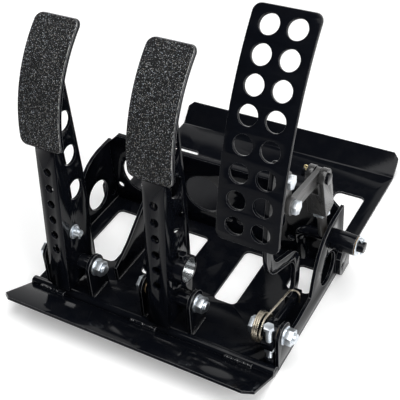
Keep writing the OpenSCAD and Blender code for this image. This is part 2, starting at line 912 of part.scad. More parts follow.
module throttle_lever() {
  tip = arm_path[1] + unit(arm_path[0] - arm_path[1]) * 3;
  color(black)
    difference() {
      union() {
        sheet_x(lever_x0, lever_x1) {
          translate([pivot_y, pivot_z])
            circle(r = lever_hub_r);
          bar2d([pivot_y, pivot_z], tip, lever_w);
          translate(tip)
            circle(r = lever_w / 2);
        }
        block([lever_x0, stop_y - tab_half, tab_z0], [stop_x + tab_half, pivot_y - 4, tab_z1]);
      }
      rod_x(lever_x0 - 1, stop_x + tab_half + 1, pivot_y, pivot_z, hub_r);
      translate([stop_x, stop_y, stop_tip_z])
        cylinder(h = stop_top - stop_tip_z, r = stop_r);
      translate([stop_x, stop_y, tab_z0 - stop_nut_t])
        cylinder(h = stop_nut_t, r = stop_af / sqrt(3) + side_gap);
    }
}

module throttle_pivot_tube() {
  pivot_tube(thr_hub_x0, thr_hub_x1);
}

module throttle_bushes() {
  bush_pair(thr_hub_x0, thr_hub_x1);
}

module return_spring_hook() {
  y1 = arm_path[1][0] - 9;
  z1 = arm_path[1][1] + lever_w / 2 + 5.5;
  x1 = lever_x1 + 2.2;
  color(zinc) {
    coil_x(hook_x, 1);
    wire([hook_x, pivot_y + coil_r * cos(45), pivot_z + coil_r * sin(45)], [hook_x, y1, z1], leg_r);
    wire([hook_x - wire_r, y1, z1], [x1 + wire_r, y1, z1], wire_r);
    wire([x1, y1, z1 - 15], [x1, y1, z1], leg_r);
  }
}

module link_bracket() {
  color(black)
    difference() {
      sheet_x(arm_x1, bracket_x1) {
        translate([link_y, link_z])
          circle(r = link_eye_r);
        translate([top_bolt_y, top_bolt_z])
          circle(r = link_eye_r);
        bar2d([link_y, link_z], [top_bolt_y, top_bolt_z], bracket_w);
      }
      rod_x(arm_x1 - 1, bracket_x1 + 1, link_y, link_z, pin_r);
      rod_x(arm_x1 - 1, bracket_x1 + 1, top_bolt_y, top_bolt_z, pin_r);
    }
}

module link_bolts() {
  color(zinc) {
    rod_x(arm_x0 - link_tail, link_x1 + side_gap + 0.5, link_y, link_z, pin_r);
    hex_x(link_x1 + side_gap, link_x1 + side_gap + link_head_t, link_y, link_z, link_af);
    rod_x(arm_x0 - link_tail, bracket_x1 + 0.5, top_bolt_y, top_bolt_z, pin_r);
    hex_x(bracket_x1, bracket_x1 + link_head_t, top_bolt_y, top_bolt_z, link_af);
  }
}

module link_nuts() {
  color(zinc)
    for (c = [[link_y, link_z], [top_bolt_y, top_bolt_z]])
      difference() {
        hex_x(arm_x0 - link_nut_t, arm_x0, c[0], c[1], link_af);
        rod_x(arm_x0 - link_nut_t - 1, arm_x0 + 1, c[0], c[1], pin_r);
      }
}

module throttle_link() {
  color(black)
    difference() {
      sheet_x(link_x0, link_x1) {
        translate([link_y, link_z])
          circle(r = link_eye_r);
        translate([fork_y, fork_z])
          circle(r = link_eye_r);
        bar2d([link_y, link_z], [fork_y, fork_z], link_w);
      }
      rod_x(link_x0 - 1, link_x1 + 1, link_y, link_z, pin_r + run_gap);
      rod_x(link_x0 - 1, link_x1 + 1, fork_y, fork_z, pin_r + link_slack);
    }
}

// Lays out a piece along the crank's upright lever, with Z running up the lever
module along_lever() {
  translate([link_x, crank_y, crank_z])
    rotate([crank_lean, 0, 0])
      children();
}

// Lays out a piece at the left end of the crank shaft, with the leg hanging down
module along_leg() {
  translate([leg_x + leg_bend, crank_y, crank_z])
    rotate([leg_lean, 0, 0])
      children();
}

module crank_shaft() {
  color(black) {
    difference() {
      rod_x(leg_x + leg_bend, crank_end_x, crank_y, crank_z, crank_r);
      translate([crank_pin_x, crank_y, crank_z - 20])
        cylinder(h = 40, r = crank_pin_r, $fn = 24);
    }
    along_leg()
      translate([0, 0, -leg_bend])
        rotate([90, 0, 0])
          rotate([0, 0, 90])
            rotate_extrude(angle = 90)
              translate([leg_bend, 0])
                circle(r = crank_r - bend_draw);
    along_leg()
      difference() {
        translate([-leg_bend, 0, -leg_bend - leg_len])
          cylinder(h = leg_len, r = crank_r);
        translate([-leg_bend - 20, 0, -leg_bend - leg_len + 7])
          rotate([0, 90, 0])
            cylinder(h = 40, r = cable_r);
      }
  }
}

module crank_lever() {
  color(black)
    difference() {
      along_lever()
        cylinder(h = fork_s0 + 16, r = rod_r);
      rod_x(wing_in - 40, tube_x1, crank_y, crank_z, crank_r);
    }
}

module clevis_locknut() {
  color(zinc)
    along_lever()
      difference() {
        translate([0, 0, nut_s0])
          cylinder(h = fork_s0 - nut_s0, r = 17 / sqrt(3), $fn = 6);
        translate([0, 0, nut_s0 - 1])
          cylinder(h = 10, r = rod_r);
      }
}

module clevis_fork() {
  h = fork_w / 2;
  color(black)
    along_lever()
      difference() {
        union() {
          translate([-h, -h, fork_s0])
            cube([fork_w, fork_w, fork_s - fork_s0]);
          translate([-h, 0, fork_s])
            rotate([0, 90, 0])
              cylinder(h = fork_w, r = h);
        }
        translate([-fork_gap / 2, -h - 1, fork_s - 17])
          cube([fork_gap, fork_w + 2, 40]);
        translate([-h - 1, 0, fork_s])
          rotate([0, 90, 0])
            cylinder(h = fork_w + 2, r = pin_r);
        translate([0, 0, fork_s0 - 1])
          cylinder(h = 17, r = rod_r);
      }
}

module clevis_pin() {
  color(black)
    difference() {
      union() {
        rod_x(fork_x0 - 6, fork_x1, fork_y, fork_z, pin_r);
        rod_x(fork_x1, fork_x1 + pin_head_t, fork_y, fork_z, pin_head_r);
      }
      translate([fork_clip_x, fork_y, fork_z - 10])
        cylinder(h = 20, r = 1, $fn = 24);
    }
}

module clevis_clip() {
  split_pin(fork_clip_x, fork_y, fork_z, pin_r, 1);
}

module crank_washer() {
  color(zinc)
    difference() {
      rod_x(crank_washer_x0, crank_washer_x0 + washer_t - 1.25, crank_y, crank_z, tube_r);
      rod_x(crank_washer_x0 - 1, crank_washer_x0 + washer_t, crank_y, crank_z, crank_r);
    }
}

module crank_split_pin() {
  split_pin(crank_pin_x, crank_y, crank_z, crank_r, crank_pin_r);
}

base_deck();
heel_lip();
fold_bar();
fold_welds();
cylinder_bulkhead();
left_side_plate();
right_side_plate();
side_lugs();
centre_gusset();
clutch_outer_ear();
clutch_inner_ear();
brake_outer_ear();
brake_inner_ear();
clutch_pivot_bolt();
brake_pivot_bolt();
throttle_pivot_bolt();
pivot_nuts();
pivot_washers();
crank_bearing_tube();
crank_bushes();
stop_boss();
stop_bolt();
stop_locknut();
return_spring_coil();
clutch_arm();
clutch_pad();
clutch_grip();
clutch_pivot_tube();
clutch_bushes();
clutch_clevis_pin();
clutch_pin_washer();
clutch_split_pin();
brake_arm();
brake_pad();
brake_grip();
brake_pivot_tube();
brake_bushes();
balance_tube();
balance_lock_screw();
throttle_pad();
throttle_arm();
throttle_lever();
throttle_pivot_tube();
throttle_bushes();
return_spring_hook();
link_bracket();
link_bolts();
link_nuts();
throttle_link();
crank_shaft();
crank_lever();
clevis_locknut();
clevis_fork();
clevis_pin();
clevis_clip();
crank_washer();
crank_split_pin();
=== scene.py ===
import json
import math

import bmesh
import bpy
from mathutils import Matrix, Vector


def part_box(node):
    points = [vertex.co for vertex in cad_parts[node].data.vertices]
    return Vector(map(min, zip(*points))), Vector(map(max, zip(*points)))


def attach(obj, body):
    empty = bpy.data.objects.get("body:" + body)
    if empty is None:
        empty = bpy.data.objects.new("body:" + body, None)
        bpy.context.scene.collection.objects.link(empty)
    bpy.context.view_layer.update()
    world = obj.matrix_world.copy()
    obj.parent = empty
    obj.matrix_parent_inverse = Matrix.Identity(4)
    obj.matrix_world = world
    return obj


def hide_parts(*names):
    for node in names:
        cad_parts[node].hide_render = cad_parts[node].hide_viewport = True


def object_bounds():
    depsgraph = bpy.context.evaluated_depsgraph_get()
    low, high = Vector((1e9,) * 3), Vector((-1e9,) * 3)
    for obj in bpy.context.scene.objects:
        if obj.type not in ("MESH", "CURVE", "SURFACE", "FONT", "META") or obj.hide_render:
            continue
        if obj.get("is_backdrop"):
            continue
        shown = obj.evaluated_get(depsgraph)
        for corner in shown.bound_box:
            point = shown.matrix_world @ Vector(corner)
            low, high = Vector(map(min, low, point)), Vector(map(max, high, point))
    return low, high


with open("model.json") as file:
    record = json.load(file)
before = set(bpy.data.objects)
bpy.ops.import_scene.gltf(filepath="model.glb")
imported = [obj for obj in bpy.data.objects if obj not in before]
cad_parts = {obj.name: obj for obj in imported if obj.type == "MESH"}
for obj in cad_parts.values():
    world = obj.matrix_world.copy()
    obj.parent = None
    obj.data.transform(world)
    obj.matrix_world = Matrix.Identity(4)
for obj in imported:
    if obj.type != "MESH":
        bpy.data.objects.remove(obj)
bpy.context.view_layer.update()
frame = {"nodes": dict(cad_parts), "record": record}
nodes = frame["nodes"]
bodyOf = {n: b for b, members in frame["record"]["behaviour"]["bodies"].items() for n in members}
mm = 0.001
print("frame loaded:", len(nodes), "pieces")

# small helpers for node trees


def link(tree, a, aOut, b, bIn):
    tree.links.new(a.outputs[aOut], b.inputs[bIn])


def addNode(tree, kind, **values):
    made = tree.nodes.new(kind)
    for key, value in values.items():
        setattr(made, key, value)
    return made


def mathNode(tree, operation, a, b=None, c=None, clamp=False):
    made = addNode(tree, "ShaderNodeMath", operation=operation, use_clamp=clamp)
    for i, value in enumerate((a, b, c)):
        if value is None:
            continue
        if isinstance(value, (int, float)):
            made.inputs[i].default_value = value
        else:
            tree.links.new(value, made.inputs[i])
    return made.outputs[0]


def noiseNode(tree, coords, scale, detail=3.0):
    made = addNode(tree, "ShaderNodeTexNoise")
    made.inputs["Scale"].default_value = scale
    made.inputs["Detail"].default_value = detail
    made.inputs["Roughness"].default_value = 0.55
    tree.links.new(coords, made.inputs["Vector"])
    return made.outputs["Fac"]


def rampNode(tree, value, low, high, outLow=0.0, outHigh=1.0):
    made = addNode(tree, "ShaderNodeMapRange")
    made.inputs["From Min"].default_value = low
    made.inputs["From Max"].default_value = high
    made.inputs["To Min"].default_value = outLow
    made.inputs["To Max"].default_value = outHigh
    tree.links.new(value, made.inputs["Value"])
    return made.outputs["Result"]


def mixColour(tree, mask, a, b):
    made = addNode(tree, "ShaderNodeMix", data_type="RGBA")
    for socket, value in ((made.inputs[0], mask), (made.inputs[6], a), (made.inputs[7], b)):
        if hasattr(value, "is_output"):
            tree.links.new(value, socket)
        else:
            socket.default_value = value
    return made.outputs[2]


def newGroup(name, inputs, outputs):
    group = bpy.data.node_groups.new(name, "ShaderNodeTree")
    for label, kind, value in inputs:
        socket = group.interface.new_socket(label, in_out="INPUT", socket_type=kind)
        if value is not None:
            socket.default_value = value
    for label, kind in outputs:
        group.interface.new_socket(label, in_out="OUTPUT", socket_type=kind)
    return group, addNode(group, "NodeGroupInput"), addNode(group, "NodeGroupOutput")


# effects that several finishes share

dustLook = {"detail": 6.0, "patches": (0.45, 0.75), "upward": (0.2, 1.0)}
peelLook = {"detail": 1.5}
marksLook = {"stretch": (1.0, 14.0, 3.0), "lean": (0.3, 0.5, 0.8), "detail": 4.0, "share": (0.62, 0.72)}


def makeDustGroup():
    group, start, end = newGroup(
        "dustFilm",
        [("Vector", "NodeSocketVector", None), ("Amount", "NodeSocketFloat", 0.3),
         ("Scale", "NodeSocketFloat", 40.0)],
        [("Mask", "NodeSocketFloat")])
    cloud = addNode(group, "ShaderNodeTexNoise")
    cloud.inputs["Detail"].default_value = dustLook["detail"]
    link(group, start, "Vector", cloud, "Vector")
    link(group, start, "Scale", cloud, "Scale")
    patch = rampNode(group, cloud.outputs["Fac"], *dustLook["patches"])
    facing = addNode(group, "ShaderNodeNewGeometry")
    split = addNode(group, "ShaderNodeSeparateXYZ")
    link(group, facing, "Normal", split, "Vector")
    upward = rampNode(group, split.outputs["Z"], *dustLook["upward"])  # dust settles on what faces up
    mask = mathNode(group, "MULTIPLY", patch, upward)
    mask = mathNode(group, "MULTIPLY", mask, start.outputs["Amount"], clamp=True)
    group.links.new(mask, end.inputs["Mask"])
    return group


def makePeelGroup():
    group, start, end = newGroup(
        "orangePeel",
        [("Vector", "NodeSocketVector", None), ("Scale", "NodeSocketFloat", 420.0),
         ("Depth", "NodeSocketFloat", 1.0)],
        [("Height", "NodeSocketFloat")])
    fine = addNode(group, "ShaderNodeTexNoise")
    fine.inputs["Detail"].default_value = peelLook["detail"]
    link(group, start, "Vector", fine, "Vector")
    link(group, start, "Scale", fine, "Scale")
    height = mathNode(group, "MULTIPLY", fine.outputs["Fac"], start.outputs["Depth"])
    group.links.new(height, end.inputs["Height"])
    return group


def makeScratchGroup():
    group, start, end = newGroup(
        "handlingMarks",
        [("Vector", "NodeSocketVector", None), ("Scale", "NodeSocketFloat", 30.0),
         ("Amount", "NodeSocketFloat", 0.5)],
        [("Mask", "NodeSocketFloat")])
    stretch = addNode(group, "ShaderNodeMapping")
    stretch.inputs["Scale"].default_value = marksLook["stretch"]
    stretch.inputs["Rotation"].default_value = marksLook["lean"]
    link(group, start, "Vector", stretch, "Vector")
    streak = addNode(group, "ShaderNodeTexNoise")
    streak.inputs["Detail"].default_value = marksLook["detail"]
    link(group, stretch, "Vector", streak, "Vector")
    link(group, start, "Scale", streak, "Scale")
    mask = rampNode(group, streak.outputs["Fac"], *marksLook["share"])
    mask = mathNode(group, "MULTIPLY", mask, start.outputs["Amount"], clamp=True)
    group.links.new(mask, end.inputs["Mask"])
    return group


dustFilm = makeDustGroup()
orangePeel = makePeelGroup()
handlingMarks = makeScratchGroup()


def newFinish(name):
    material = bpy.data.materials.new(name)
    material.use_nodes = True
    tree = material.node_tree
    shader = tree.nodes["Principled BSDF"]
    coords = addNode(tree, "ShaderNodeTexCoord").outputs["Object"]
    return material, tree, shader, coords


def placeGroup(tree, group, coords, **values):
    made = addNode(tree, "ShaderNodeGroup", node_tree=group)
    tree.links.new(coords, made.inputs["Vector"])
    for key, value in values.items():
        made.inputs[key].default_value = value
    return made.outputs[0]


def bumpNode(tree, height, strength, distance):
    made = addNode(tree, "ShaderNodeBump")
    made.inputs["Strength"].default_value = strength
    made.inputs["Distance"].default_value = distance
    tree.links.new(height, made.inputs["Height"])
    return made.outputs["Normal"]


paintLook = {
    "dust": dict(Amount=0.04, Scale=60.0),
    "dustColour": (0.09, 0.088, 0.085, 1.0),
    "dustDull": 0.3,  # how much rougher dust makes the paint
    "marks": dict(Scale=22.0, Amount=0.35),
    "marksDull": 0.16,
    "peel": dict(Scale=520.0, Depth=1.0),
    "peelBump": (0.06, 0.4 * mm),
}


def makeBlackPaint(name, colour, roughness, gloss=0.12):
    material, tree, shader, coords = newFinish(name)
    dust = placeGroup(tree, dustFilm, coords, **paintLook["dust"])
    marks = placeGroup(tree, handlingMarks, coords, **paintLook["marks"])
    peel = placeGroup(tree, orangePeel, coords, **paintLook["peel"])
    base = mixColour(tree, dust, (*colour, 1.0), paintLook["dustColour"])
    tree.links.new(base, shader.inputs["Base Color"])
    rough = mathNode(tree, "MULTIPLY_ADD", marks, paintLook["marksDull"], roughness)
    rough = mathNode(tree, "MULTIPLY_ADD", dust, paintLook["dustDull"], rough, clamp=True)
    tree.links.new(rough, shader.inputs["Roughness"])
    tree.links.new(bumpNode(tree, peel, *paintLook["peelBump"]), shader.inputs["Normal"])
    shader.inputs["Specular IOR Level"].default_value = gloss
    return material


platingLook = {
    "tint": dict(scale=90.0, detail=4.0),
    "tintRange": (0.35, 0.7),
    "tintDull": 0.1,
    "grain": dict(scale=900.0, detail=2.0),
    "grainBump": (0.15, 0.3 * mm),
    "marks": dict(Scale=60.0, Amount=0.6),
    "marksDull": 0.2,
}


def makePlating(name, bright, dull, roughness):
    material, tree, shader, coords = newFinish(name)
    tint = noiseNode(tree, coords, **platingLook["tint"])
    tint = rampNode(tree, tint, *platingLook["tintRange"])
    tree.links.new(mixColour(tree, tint, (*bright, 1.0), (*dull, 1.0)), shader.inputs["Base Color"])
    grain = noiseNode(tree, coords, **platingLook["grain"])
    marks = placeGroup(tree, handlingMarks, coords, **platingLook["marks"])
    rough = mathNode(tree, "MULTIPLY_ADD", marks, platingLook["marksDull"], roughness)
    rough = mathNode(tree, "MULTIPLY_ADD", tint, platingLook["tintDull"], rough, clamp=True)
    tree.links.new(rough, shader.inputs["Roughness"])
    tree.links.new(bumpNode(tree, grain, *platingLook["grainBump"]), shader.inputs["Normal"])
    shader.inputs["Metallic"].default_value = 1.0
    return material


gripLook = {
    "gritScale": 1700.0,  # grains over half a millimetre apart
    "resin": ((0.0, 0.0, 0.0, 1.0), (0.033, 0.033, 0.035, 1.0)),
    "resinCurve": 1.6,  # above 1 keeps most of the resin dark
    "grain": ((0.4, 0.365, 0.31, 1.0), (0.4, 0.46, 0.54, 1.0)),  # warm to cold
    "grainShare": (0.85, 1.0),
    # the tape's sideways cut edges are pale: partly its backing, partly a painted highlight
    "backingAndHighlight": (0.62, 0.62, 0.6, 1.0),
    "backingHighlightFacing": (0.7, 0.9),  # how squarely a face looks sideways to show the pale backing and painted highlight
    "tearScale": 330.0,
    "tearRange": (0.42, 0.58, 0.15, 1.0),
    "gritHeight": (0.0, 0.6, 1.0, 0.0),  # highest at the middle of a grain
    "gritBump": (0.6, 0.6 * mm),
    "roughness": (0.5, 0.95),
    "gloss": 0.1,
}


def makeGripTape(name):
    material, tree, shader, coords = newFinish(name)
    grit = addNode(tree, "ShaderNodeTexVoronoi")
    grit.inputs["Scale"].default_value = gripLook["gritScale"]
    tree.links.new(coords, grit.inputs["Vector"])
    speck = addNode(tree, "ShaderNodeSeparateColor")
    link(tree, grit, "Color", speck, "Color")
    shade = mathNode(tree, "POWER", speck.outputs["Green"], gripLook["resinCurve"])
    resin = mixColour(tree, shade, *gripLook["resin"])
    grain = mixColour(tree, speck.outputs["Blue"], *gripLook["grain"])
    colour = mixColour(tree, rampNode(tree, speck.outputs["Red"], *gripLook["grainShare"]), resin, grain)
    # the sideways faces of the tape turn pale: partly the backing of the cut, partly a painted highlight
    facing = addNode(tree, "ShaderNodeNewGeometry")
    split = addNode(tree, "ShaderNodeSeparateXYZ")
    link(tree, facing, "Normal", split, "Vector")
    backingAndHighlightMask = rampNode(tree, mathNode(tree, "ABSOLUTE", split.outputs["X"]), *gripLook["backingHighlightFacing"])
    torn = rampNode(tree, noiseNode(tree, coords, gripLook["tearScale"]), *gripLook["tearRange"])
    backingAndHighlightMask = mathNode(tree, "MULTIPLY", backingAndHighlightMask, torn)  # the cut sides show the pale backing, partly a painted highlight along the edge
    tree.links.new(mixColour(tree, backingAndHighlightMask, colour, gripLook["backingAndHighlight"]), shader.inputs["Base Color"])
    height = rampNode(tree, grit.outputs["Distance"], *gripLook["gritHeight"])
    tree.links.new(bumpNode(tree, height, *gripLook["gritBump"]), shader.inputs["Normal"])
    rough = rampNode(tree, speck.outputs["Green"], 0.0, 1.0, *gripLook["roughness"])
    tree.links.new(rough, shader.inputs["Roughness"])
    shader.inputs["Specular IOR Level"].default_value = gripLook["gloss"]
    return material


turnedLook = {
    "tintScale": 240.0,
    "tintRange": (0.35, 0.7),
    "colours": ((0.62, 0.65, 0.66, 1.0), (0.45, 0.47, 0.48, 1.0)),
    "roughness": (0.16, 0.24),
    "ringScale": 390.0,  # a cutter mark every 0.8 mm along the bore
    "ringWander": 0.4,
    "ringBump": (1.0, 0.2 * mm),
}


def makeTurnedSteel(name):
    material, tree, shader, coords = newFinish(name)
    tint = rampNode(tree, noiseNode(tree, coords, turnedLook["tintScale"]), *turnedLook["tintRange"])
    tree.links.new(mixColour(tree, tint, *turnedLook["colours"]), shader.inputs["Base Color"])
    rough = rampNode(tree, tint, 0.0, 1.0, *turnedLook["roughness"])
    tree.links.new(rough, shader.inputs["Roughness"])
    rings = addNode(tree, "ShaderNodeTexWave", wave_type="BANDS", bands_direction="X", wave_profile="SIN")
    rings.inputs["Scale"].default_value = turnedLook["ringScale"]
    rings.inputs["Distortion"].default_value = turnedLook["ringWander"]
    tree.links.new(coords, rings.inputs["Vector"])
    tree.links.new(bumpNode(tree, rings.outputs["Fac"], *turnedLook["ringBump"]), shader.inputs["Normal"])
    shader.inputs["Metallic"].default_value = 1.0
    return material


deepBlack = (0.003, 0.0036, 0.0055)
finishes = {
    "black_paint": makeBlackPaint("glossBlackPowderCoat", deepBlack, 0.1),
    "zinc_plate": makePlating("brightZincPlate", (0.84, 0.88, 0.92), (0.6, 0.65, 0.7), 0.32),
    "grip_tape": makeGripTape("grittyGripTape"),
    "bronze": makePlating("sinteredBronze", (0.6, 0.42, 0.24), (0.4, 0.27, 0.15), 0.38),
    "spring_steel": makePlating("springWire", (0.6, 0.55, 0.46), (0.34, 0.29, 0.22), 0.24),
}
thinBlack = makeBlackPaint("thinBlackOnLinkage", (0.052, 0.051, 0.05), 0.32, 0.6)  # steel shows through here
# a lighter grey for the broken edges of painted pieces: a painted highlight along every edge
paintedEdgeHighlight = makeBlackPaint("paintedHighlightOnEdges", (0.085, 0.086, 0.09), 0.3, 0.5)
weldPaint = makeBlackPaint("glossPaintOverWelds", deepBlack, 0.06, 0.7)
satinBlack = makeBlackPaint("satinBlackOnPad", deepBlack, 0.16, 0.06)
darkFork = makeBlackPaint("blackOnFork", (0.027, 0.027, 0.027), 0.24, 0.6)
yellowZinc = makePlating("yellowZincClip", (0.82, 0.68, 0.38), (0.62, 0.5, 0.27), 0.3)
turnedSteel = makeTurnedSteel("turnedBareSteel")
ownFinish = {  # pieces that differ from the rest of their slot
    "throttle_link": thinBlack,
    "link_bracket": thinBlack,
    "crank_lever": thinBlack,
    "clevis_fork": darkFork,
    "throttle_pad": satinBlack,
    "clevis_clip": yellowZinc,
}
print("finishes made")

# all but thin wire and grip sheets is copied, and the copy with broken edges stands for the plain solid

edgeBreak = {
    "painted": 0.5 * mm,
    "fastener": 0.45 * mm,
    "steps": 2,
    "angle": 32.0,  # in degrees; flatter edges stay as they are
    "merge": 0.001 * mm,
    "flat": 0.5,  # in degrees; faces this close to one plane become one
}
wireLike = {"return_spring_coil", "return_spring_hook", "clutch_split_pin", "crank_split_pin", "clevis_clip"}
slotOf = {s["node"]: s["material_slot"] for s in frame["record"]["subparts"]}
armBends = {
    "line": ((-79 * mm, 27 * mm), (-73.5 * mm, 80 * mm), (-138 * mm, 108.5 * mm), (-138 * mm, 147 * mm)),
    "half": 6 * mm,  # of the bar's width; its centre line above is in Y and Z
    "drawn": 15 * mm,
    "wide": 30 * mm,
    "near": 0.3 * mm,  # how far a point may lie from the drawn arc and still count as on it
    "slack": 0.5,  # and past its ends, in degrees
}


def widenBends(mesh):  # the bar of the throttle arm sweeps gently through its two bends
    line = [Vector(point) for point in armBends["line"]]
    grow = armBends["wide"] - armBends["drawn"]
    for before, corner, after in zip(line, line[1:], line[2:]):
        a, b = (before - corner).normalized(), (after - corner).normalized()
        inward = (a + b).normalized()
        reach = 1 / math.sin(a.angle(b) / 2)
        centre = corner + inward * armBends["drawn"] * reach
        spread = (math.pi - a.angle(b)) / 2 + math.radians(armBends["slack"])
        for vertex in mesh.vertices:
            away = Vector((vertex.co.y, vertex.co.z)) - centre
            offset = abs(abs(away.length - armBends["drawn"]) - armBends["half"])
            if offset < armBends["near"] and away.angle(-inward) < spread:
                place = centre + inward * grow * reach + away.normalized() * (away.length + grow)
                vertex.co.y, vertex.co.z = place


def softenedCopy(name, width):
    mesh = nodes[name].data.copy()
    piece = bpy.data.objects.new(name + "_shown", mesh)
    bpy.context.scene.collection.objects.link(piece)
    work = bmesh.new()
    work.from_mesh(mesh)
    bmesh.ops.remove_doubles(work, verts=work.verts, dist=edgeBreak["merge"])
    bmesh.ops.dissolve_limit(
        work, angle_limit=math.radians(edgeBreak["flat"]), verts=work.verts, edges=work.edges)
    work.to_mesh(mesh)
    work.free()
    if name == "throttle_arm":
        widenBends(mesh)
    for face in mesh.polygons:
        face.use_smooth = True
    mesh.materials.clear()
    mesh.materials.append(ownFinish.get(name, finishes[slotOf[name]]))
    if slotOf[name] == "black_paint":
        mesh.materials.append(paintedEdgeHighlight)
    bevel = piece.modifiers.new("edges", "BEVEL")
    bevel.width = width
    bevel.segments = edgeBreak["steps"]
    bevel.limit_method = "ANGLE"
    bevel.angle_limit = math.radians(edgeBreak["angle"])
    bevel.harden_normals = True
    bevel.use_clamp_overlap = True
    # the bevel faces of painted pieces take the painted edge highlight
    bevel.material = 1 if slotOf[name] == "black_paint" else -1
    graph = bpy.context.evaluated_depsgraph_get()
    baked = bpy.data.meshes.new_from_object(piece.evaluated_get(graph))
    piece.modifiers.clear()
    piece.data = baked
    return piece


for name in sorted(nodes):
    if name in wireLike or slotOf[name] == "grip_tape":
        nodes[name].data.materials.clear()
        nodes[name].data.materials.append(ownFinish.get(name, finishes[slotOf[name]]))
        continue
    width = edgeBreak["painted" if slotOf[name] == "black_paint" else "fastener"]
    piece = softenedCopy(name, width)
    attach(piece, bodyOf[name])
    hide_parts(name)
print("edges softened")

# screw threads and weld beads are rings and drops repeated along a line


def newTree(name, inputs):
    tree = bpy.data.node_groups.new(name, "GeometryNodeTree")
    ids = {}
    for label, kind, value in inputs:
        socket = tree.interface.new_socket(label, in_out="INPUT", socket_type=kind)
        socket.default_value = value
        ids[label] = socket.identifier
    tree.interface.new_socket("Geometry", in_out="OUTPUT", socket_type="NodeSocketGeometry")
    return tree, ids, addNode(tree, "NodeGroupInput"), addNode(tree, "NodeGroupOutput")


def endTree(tree, made, socketName, material, end):
    real = addNode(tree, "GeometryNodeRealizeInstances")
    paint = addNode(tree, "GeometryNodeSetMaterial")
    paint.inputs["Material"].default_value = material
    link(tree, made, socketName, real, "Geometry")
    link(tree, real, "Geometry", paint, "Geometry")
    link(tree, paint, "Geometry", end, "Geometry")


threadForm = {"around": 40, "section": 4, "crest": 0.42, "lead": 0.5}  # the last two in pitches
weldForm = {"segments": 14, "rings": 8, "smallest": 0.86, "largest": 1.08}


def makeThreadTree(name, material):
    tree, ids, start, end = newTree(name, [
        ("Turns", "NodeSocketInt", 5), ("Pitch", "NodeSocketFloat", 1.5 * mm),
        ("Radius", "NodeSocketFloat", 5 * mm), ("Crest", "NodeSocketFloat", 0.5 * mm)])
    step = addNode(tree, "ShaderNodeCombineXYZ")
    link(tree, start, "Pitch", step, "Z")
    line = addNode(tree, "GeometryNodeMeshLine", mode="OFFSET")
    link(tree, start, "Turns", line, "Count")
    link(tree, step, "Vector", line, "Offset")
    ring = addNode(tree, "GeometryNodeCurvePrimitiveCircle")
    ring.inputs["Resolution"].default_value = threadForm["around"]
    link(tree, start, "Radius", ring, "Radius")
    crest = addNode(tree, "GeometryNodeCurvePrimitiveCircle")
    crest.inputs["Resolution"].default_value = threadForm["section"]
    link(tree, start, "Crest", crest, "Radius")
    turn = addNode(tree, "GeometryNodeCurveToMesh")
    link(tree, ring, "Curve", turn, "Curve")
    link(tree, crest, "Curve", turn, "Profile Curve")
    copies = addNode(tree, "GeometryNodeInstanceOnPoints")
    link(tree, line, "Mesh", copies, "Points")
    link(tree, turn, "Mesh", copies, "Instance")
    endTree(tree, copies, "Instances", material, end)
    return tree, ids


def makeWeldTree(name, material):
    tree, ids, start, end = newTree(name, [
        ("Drops", "NodeSocketInt", 12), ("Spacing", "NodeSocketFloat", 1.6 * mm),
        ("Radius", "NodeSocketFloat", 1.8 * mm), ("Seed", "NodeSocketInt", 3)])
    step = addNode(tree, "ShaderNodeCombineXYZ")
    link(tree, start, "Spacing", step, "Z")
    line = addNode(tree, "GeometryNodeMeshLine", mode="OFFSET")
    link(tree, start, "Drops", line, "Count")
    link(tree, step, "Vector", line, "Offset")
    drop = addNode(tree, "GeometryNodeMeshUVSphere")
    drop.inputs["Segments"].default_value = weldForm["segments"]
    drop.inputs["Rings"].default_value = weldForm["rings"]
    link(tree, start, "Radius", drop, "Radius")
    size = addNode(tree, "FunctionNodeRandomValue", data_type="FLOAT")
    size.inputs["Min"].default_value = weldForm["smallest"]
    size.inputs["Max"].default_value = weldForm["largest"]
    link(tree, start, "Seed", size, "Seed")
    copies = addNode(tree, "GeometryNodeInstanceOnPoints")
    link(tree, line, "Mesh", copies, "Points")
    link(tree, drop, "Mesh", copies, "Instance")
    tree.links.new(size.outputs["Value"], copies.inputs["Scale"])
    endTree(tree, copies, "Instances", material, end)
    return tree, ids


def bakeTree(name, tree, ids, values, place, direction):
    holder = bpy.data.objects.new(name, bpy.data.meshes.new(name))
    bpy.context.scene.collection.objects.link(holder)
    nodesModifier = holder.modifiers.new("repeat", "NODES")
    nodesModifier.node_group = tree
    for label, value in values.items():
        nodesModifier[ids[label]] = value
    graph = bpy.context.evaluated_depsgraph_get()
    mesh = bpy.data.meshes.new_from_object(holder.evaluated_get(graph))
    bpy.data.objects.remove(holder)
    turn = Vector(direction).to_track_quat("Z", "Y").to_matrix().to_4x4()
    mesh.transform(Matrix.Translation(place) @ turn)
    for face in mesh.polygons:
        face.use_smooth = True
    return mesh


def joinMeshes(name, meshes):
    work = bmesh.new()
    for mesh in meshes:
        work.from_mesh(mesh)
    joined = bpy.data.meshes.new(name)
    work.to_mesh(joined)
    work.free()
    for material in meshes[0].materials:
        joined.materials.append(material)
    piece = bpy.data.objects.new(name, joined)
    bpy.context.scene.collection.objects.link(piece)
    return piece


pivotScrew = {"turns": 2, "pitch": 1.5 * mm, "radius": 4.75 * mm}
stopScrew = {"tab": 8 * mm, "head": 4 * mm, "pitch": 1.0 * mm, "radius": 2.85 * mm}


def boltTip(node):
    low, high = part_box(node)
    middle = (low + high) / 2
    return Vector((high.x, middle.y, middle.z))


